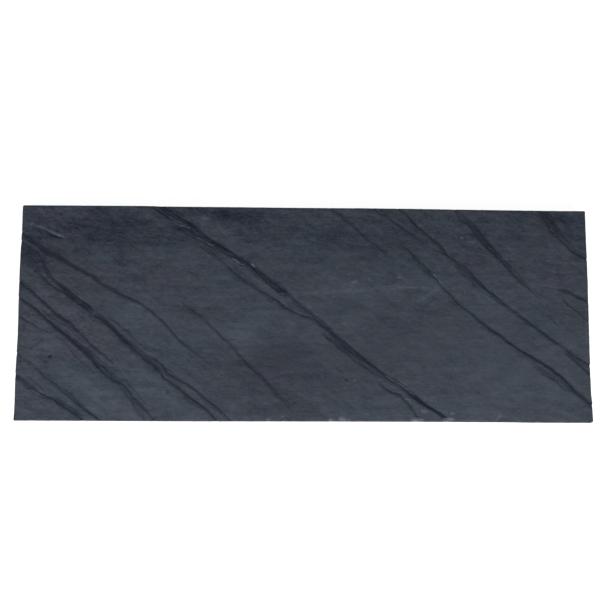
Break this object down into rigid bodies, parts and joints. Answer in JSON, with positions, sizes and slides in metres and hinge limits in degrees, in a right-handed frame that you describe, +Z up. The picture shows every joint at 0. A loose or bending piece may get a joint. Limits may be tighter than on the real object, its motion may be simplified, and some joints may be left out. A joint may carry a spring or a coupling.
{
  "type": "slate slab",
  "caption": "Long rectangular slab of blue-grey slate with sawn sides, a riven top crossed by diagonal dark clefts, and a flat underside.",
  "frame": {"origin": "centre of the flat underside", "axes": "+X along the slab's length, +Y across its width, +Z up out of the riven top"},
  "size_m": [0.8024, 0.301, 0.02],
  "materials": {
    "slate": "riven, dull, fine-grained blue-grey slate"
  },
  "bodies": {
    "root": {"slab": "slate"}
  },
  "joints": []
}
